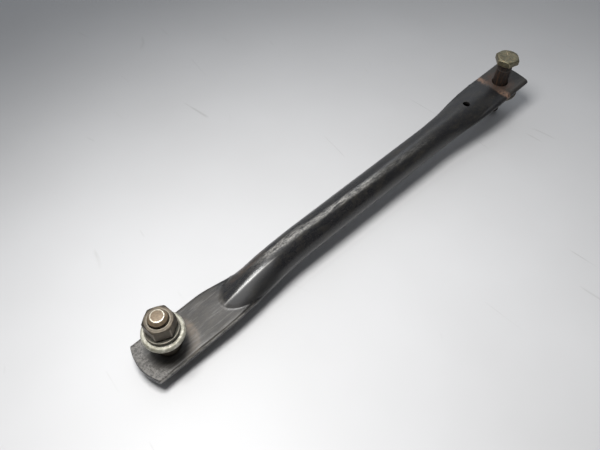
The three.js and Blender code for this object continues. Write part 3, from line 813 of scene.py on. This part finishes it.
def pale_floor():
    """A smooth pale surface with a few thin scratches and specks."""
    material = bpy.data.materials.new("pale_floor")
    material.use_nodes = True
    tree = material.node_tree
    shader = tree.nodes["Principled BSDF"]
    place = tree.nodes.new("ShaderNodeTexCoord")

    def turned_by(degrees, stretch):
        mapping = tree.nodes.new("ShaderNodeMapping")
        mapping.inputs["Rotation"].default_value = (0.0, 0.0, math.radians(degrees))
        mapping.inputs["Scale"].default_value = stretch
        tree.links.new(place.outputs["Object"], mapping.inputs["Vector"])
        return mapping.outputs[0]

    def noise(per_metre, detail, rough, vector):
        node = tree.nodes.new("ShaderNodeTexNoise")
        node.inputs["Scale"].default_value = per_metre
        node.inputs["Detail"].default_value = detail
        node.inputs["Roughness"].default_value = rough
        tree.links.new(vector, node.inputs["Vector"])
        return Num(tree, node.outputs["Fac"])

    def thin_line(degrees, per_metre):
        """A hair line where a stretched noise passes its middle, kept only in scattered patches."""
        level = noise(per_metre, 1.0, 0.4, turned_by(degrees, (1.0, 0.22, 1.0)))
        patch = ((noise(26.0, 2.0, 0.5, turned_by(degrees * 2.0, (1.0, 1.0, 1.0))) - 0.60) * 14.0).clamped()
        return (1.0 - (level - 0.5).op("ABSOLUTE") * 330.0).clamped() * patch

    plain = turned_by(0.0, (1.0, 1.0, 1.0))
    cloudy = noise(7.0, 4.0, 0.5, plain)
    lines = thin_line(63.0, 13.0) + thin_line(-34.0, 17.0) * 0.7
    specks = ((noise(1300.0, 1.0, 0.5, plain) - 0.80) * 14.0).clamped()
    ramp = tree.nodes.new("ShaderNodeMix")
    ramp.data_type = "RGBA"
    feed(tree, ramp.inputs[0], (cloudy * 0.6 + 0.3 - lines * 0.5 - specks * 0.7).clamped())
    ramp.inputs[6].default_value = srgb(188, 187, 186)
    ramp.inputs[7].default_value = srgb(222, 222, 223)
    tree.links.new(ramp.outputs[2], shader.inputs["Base Color"])
    feed(tree, shader.inputs["Roughness"], cloudy * 0.1 + 0.44)
    return material


# ---------------------------------------------------------------- camera, floor and light

CAMERA_AT = Vector((-0.19229, -0.13617, 0.27416))
CAMERA_FORWARD = Vector((0.44947552, 0.43435919, -0.78057918))
CAMERA_RIGHT = Vector((0.71829102, -0.6952286, 0.02674334))
LENS_MM, SENSOR_MM = 34.9914, 36.0


def place_camera():
    data = bpy.data.cameras.new("studio camera")
    data.lens, data.sensor_width, data.sensor_fit = LENS_MM, SENSOR_MM, "HORIZONTAL"
    data.clip_start, data.clip_end = 0.01, 50.0
    camera = bpy.data.objects.new("studio camera", data)
    bpy.context.scene.collection.objects.link(camera)
    up = CAMERA_RIGHT.cross(CAMERA_FORWARD)
    turn = Matrix((CAMERA_RIGHT, up, -CAMERA_FORWARD)).transposed()
    camera.matrix_world = Matrix.Translation(CAMERA_AT) @ turn.to_4x4()
    bpy.context.scene.camera = camera


def lay_floor():
    bm = bmesh.new()
    bmesh.ops.create_grid(bm, x_segments=2, y_segments=2, size=3.0)
    mesh = bpy.data.meshes.new("floor")
    bm.to_mesh(mesh)
    bm.free()
    mesh.materials.append(pale_floor())
    floor = bpy.data.objects.new("floor", mesh)
    bpy.context.scene.collection.objects.link(floor)


def soft_panel(name, at, target, width, height, watts, colour):
    """A rectangular panel facing its target, its long side level and along the bar."""
    data = bpy.data.lights.new(name, "AREA")
    data.shape, data.size, data.size_y, data.energy, data.color = "RECTANGLE", width, height, watts, colour
    lamp = bpy.data.objects.new(name, data)
    bpy.context.scene.collection.objects.link(lamp)
    lamp.visible_camera = False
    lamp.visible_diffuse = False      # it only glints on the paint and the steel
    back = (at - target).normalized()
    long_side = (BAR_AXIS - back * BAR_AXIS.dot(back)).normalized()
    turn = Matrix((long_side, back.cross(long_side), back)).transposed()
    lamp.matrix_world = Matrix.Translation(at) @ turn.to_4x4()


def soft_spot(name, at, target, cone_deg, radius, watts, colour=(1.0, 1.0, 1.0)):
    data = bpy.data.lights.new(name, "SPOT")
    data.spot_size, data.spot_blend, data.shadow_soft_size = math.radians(cone_deg), 1.0, radius
    data.energy, data.color = watts, colour
    lamp = bpy.data.objects.new(name, data)
    bpy.context.scene.collection.objects.link(lamp)
    lamp.visible_camera = False
    aim = (Vector(target) - Vector(at)).to_track_quat("-Z", "Y")
    lamp.matrix_world = Matrix.Translation(at) @ aim.to_matrix().to_4x4()


def light_studio():
    """One soft lamp over the near end, which pools on the floor, in a room that is brighter beyond the bar."""
    soft_spot("overhead lamp", (-0.155, 0.03, 0.42), (-0.085, -0.125, 0.0), 118.0, 0.085, 8.9, (1.0, 0.995, 0.985))
    glint_from = Vector((-0.03, 0.0, 0.02))
    window_at = glint_from + Vector((0.42, 0.36, 0.83)) * 1.5
    soft_panel("window beyond", window_at, glint_from, 0.9, 0.11, 3.6, (0.94, 0.97, 1.0))
    world = bpy.data.worlds.new("studio")
    world.use_nodes = True
    tree = world.node_tree
    place = tree.nodes.new("ShaderNodeTexCoord")
    dot = tree.nodes.new("ShaderNodeVectorMath")
    dot.operation = "DOT_PRODUCT"
    dot.inputs[1].default_value = Vector((0.45, 0.85, 0.10)).normalized()
    tree.links.new(place.outputs["Generated"], dot.inputs[0])
    beyond = ((Num(tree, dot.outputs["Value"]) + 0.15) / 0.95).smooth()
    backdrop = tree.nodes["Background"]
    backdrop.inputs["Color"].default_value = (0.90, 0.94, 1.0, 1.0)
    feed(tree, backdrop.inputs["Strength"], beyond * 0.44 + 0.11)
    bpy.context.scene.world = world
    bpy.context.scene.view_settings.view_transform = "Standard"


# ---------------------------------------------------------------- the pieces

def cut_with(mesh, cutters):
    """Cuts closed cutters out of a mesh and gives the plain result."""
    scene = bpy.context.scene.collection
    body = bpy.data.objects.new("cut body", mesh)
    scene.objects.link(body)
    tools = []
    for cutter in cutters:
        tool = bpy.data.objects.new("cutter", cutter)
        scene.objects.link(tool)
        tools.append(tool)
        modifier = body.modifiers.new("cut", "BOOLEAN")
        modifier.operation, modifier.solver, modifier.object = "DIFFERENCE", "EXACT", tool
    bpy.context.view_layer.update()
    result = bpy.data.meshes.new_from_object(body.evaluated_get(bpy.context.evaluated_depsgraph_get()))
    for extra in tools + [body]:
        bpy.data.objects.remove(extra)
    return result


def hole_cutter(x, mid_z, radius):
    """A drilled hole with both edges broken."""
    t = TAB_HALF_T
    return lathe([(0.0, mid_z - t - 1.5), (radius + 1.8, mid_z - t - 1.5), (radius, mid_z - t + 0.35),
                  (radius, mid_z + t - 0.35), (radius + 1.8, mid_z + t + 1.5), (0.0, mid_z + t + 1.5)], x, DRILL_SIDES)


def drain_cutter(x):
    """The small hole in the top, opening into the hollow of the tube."""
    axis = FAR_AXIS_RISE + 0.9
    roof = axis + TUBE_R - 0.6
    profile = [(0.0, axis - 5.0), (3.4, axis - 4.2), (5.0, axis - 1.0), (5.0, axis + 2.0), (3.8, roof - WALL - 2.0),
               (DRAIN_R, roof - WALL - 1.2), (DRAIN_R, roof - 0.8), (DRAIN_R + 0.6, roof + 0.4),
               (DRAIN_R + 0.6, roof + 3.0), (0.0, roof + 3.0)]
    return lathe(profile, x, DRAIN_SIDES)


def make_bar(paint):
    skin = faced_outward(grown_mesh(pressed_tube_tree(), "pressed bar", {
        "Material": paint, "Tube radius": TUBE_R, "Tab half thickness": TAB_HALF_T,
        "Tab half width": TAB_HALF_W, "Hole pitch": HOLE_PITCH, "Near axis rise": NEAR_AXIS_RISE,
        "Far axis rise": FAR_AXIS_RISE, "Far rise": FAR_RISE, "Crease softness": CREASE_SOFTNESS}))
    holes = [
        hole_cutter(0.0, 0.0, NEAR_HOLE_R),
        hole_cutter(HOLE_PITCH, FAR_RISE, FAR_HOLE_R),
        drain_cutter(HOLE_PITCH - DRAIN_BACK),
    ]
    mesh = cut_with(skin, holes)
    return finish_piece("pressed_bar", mesh, paint, "bar", "bar_tube", BAR_SHARP_DEG)


def rod(tree, material, bottom, top, thread_from, thread_to):
    return faced_outward(grown_mesh(tree, "rod", {
        "Material": material, "Radius": THREAD_R, "Bottom": bottom, "Top": top,
        "Thread from": thread_from, "Thread to": thread_to, "Pitch": THREAD_PITCH,
        "Depth": THREAD_DEPTH, "Chamfer": TIP_CHAMFER}))


def thick_washer(x, z0, radius):
    profile = rounded_ring_profile(z0, radius, WASHER_BORE_R, WASHER_T, WASHER_ROUND)
    return lathe(profile, x, WASHER_SIDES, True, WASHER_WOBBLE)


def make_near_bolt(rod_tree):
    steel = near_bolt_finish()
    head = hex_block(0.0, NEAR_HEAD_TOP - HEAD_H, HEAD_H, NEAR_HEAD_TURN, False, True, dish=0.25)
    shoulder = lathe([
        (0.0, NEAR_HEAD_TOP - 0.5), (SHOULDER_R + 0.3, NEAR_HEAD_TOP - 0.5),
        (SHOULDER_R, NEAR_HEAD_TOP + 0.1), (SHOULDER_R, SHOULDER_TOP - 0.45),
        (SHOULDER_R - 0.15, SHOULDER_TOP - 0.15), (SHOULDER_R - 0.5, SHOULDER_TOP),
        (0.0, SHOULDER_TOP)], 0.0, BOLT_SIDES)
    stem = rod(rod_tree, steel, SHOULDER_TOP - 2.0, NEAR_BOLT_TOP - 0.1,
               SHOULDER_TOP + 0.4, NEAR_BOLT_TOP + 1.0)
    finish_piece("near_bolt_steel", joined("near bolt", [head, shoulder, stem]), steel,
                 "near_bolt_body", "near_bolt")


def make_near_washers():
    nickel = plated_steel("washer_nickel", 0.0, srgb(184, 182, 168), srgb(132, 129, 114), srgb(222, 219, 208),
                          rough=0.48, metal=0.45, stain_share=0.7, scratch=0.25, pitted=0.10)
    finish_piece("near_thick_washer", thick_washer(0.0, NEAR_WASHER_Z, WASHER_R), nickel,
                 "near_washer", "near_plain_washer")

    dark = plated_steel("spring_steel_dark", 0.0, srgb(86, 85, 76), srgb(50, 49, 44), srgb(70, 58, 44),
                        rough=0.44, metal=0.75, grain_stretch=(1.0, 1.0, 0.4), stain_share=0.4, scratch=0.45)
    ring = faced_outward(grown_mesh(split_ring_tree(), "split ring", {
        "Material": dark, "Mid radius": (SPRING_R + WASHER_BORE_R) / 2,
        "Half width": (SPRING_R - WASHER_BORE_R) / 2, "Half height": SPRING_T / 2 - 0.08,
        "Gap angle": SPRING_SLIT / SPRING_R, "Gap slant": 0.6, "Spring": 0.14,
        "Gap at": math.radians(SPRING_GAP_AT)}))
    finish_piece("near_split_ring", moved(ring, z=NEAR_SPRING_Z + SPRING_T / 2), dark,
                 "near_spring", "near_spring_washer")


def make_near_nut():
    tarnish = plated_steel("tarnished_nut_steel", 0.0, srgb(108, 99, 85), srgb(70, 65, 58), srgb(60, 51, 42),
                           rough=0.44, metal=0.72, grain_stretch=(1.0, 1.0, 0.5), stain_share=0.45, scratch=0.6)
    nut = hex_block(0.0, NEAR_NUT_Z, NUT_H, NEAR_NUT_TURN, True, True, bore=NUT_BORE_R)
    finish_piece("near_hex_nut", nut, tarnish, "near_nut_body", "near_nut")


def make_far_bolt(rod_tree):
    zinc = far_bolt_finish()
    head = hex_block(HOLE_PITCH, FAR_HEAD_Z, FAR_HEAD_H, FAR_HEAD_TURN, True, False, dish=0.2)
    face = lathe([
        (0.0, FAR_HEAD_Z - 0.6), (HEAD_FACE_R - 0.15, FAR_HEAD_Z - 0.6),
        (HEAD_FACE_R, FAR_HEAD_Z - 0.45), (HEAD_FACE_R, FAR_HEAD_Z + 0.5),
        (0.0, FAR_HEAD_Z + 0.5)], HOLE_PITCH, BOLT_SIDES)
    stem = rod(rod_tree, zinc, FAR_BOLT_TIP + 0.1, FAR_HEAD_Z, FAR_BOLT_TIP - 2.0, FAR_HEAD_Z - FAR_SHANK)
    pieces = [head, face, moved(stem, x=HOLE_PITCH)]
    finish_piece("far_bolt_zinc", joined("far bolt", pieces), zinc, "far_bolt_body", "far_bolt")


def make_far_washer_and_nut():
    dull = plated_steel("washer_steel_dull", HOLE_PITCH, srgb(120, 116, 106), srgb(78, 74, 66), srgb(92, 68, 48),
                        rough=0.46, metal=0.8, grain_stretch=(0.4, 0.4, 1.0), stain_share=0.5, scratch=0.4)
    finish_piece("far_thick_washer", thick_washer(HOLE_PITCH, FAR_WASHER_Z, FAR_WASHER_R), dull,
                 "far_washer", "far_plain_washer")

    nut_steel = plated_steel("far_nut_steel", HOLE_PITCH, srgb(108, 103, 92), srgb(66, 62, 55), srgb(80, 58, 42),
                             rough=0.46, metal=0.8, grain_stretch=(1.0, 1.0, 0.5), stain_share=0.5, scratch=0.6)
    nut = hex_block(HOLE_PITCH, FAR_NUT_Z, NUT_H, FAR_NUT_TURN, True, True, bore=NUT_BORE_R)
    finish_piece("far_hex_nut", nut, nut_steel, "far_nut_body", "far_nut")


place_camera()
lay_floor()
light_studio()
make_bar(black_tube_paint())
ROD_TREE = threaded_rod_tree()
make_near_bolt(ROD_TREE)
make_near_washers()
make_near_nut()
make_far_bolt(ROD_TREE)
make_far_washer_and_nut()
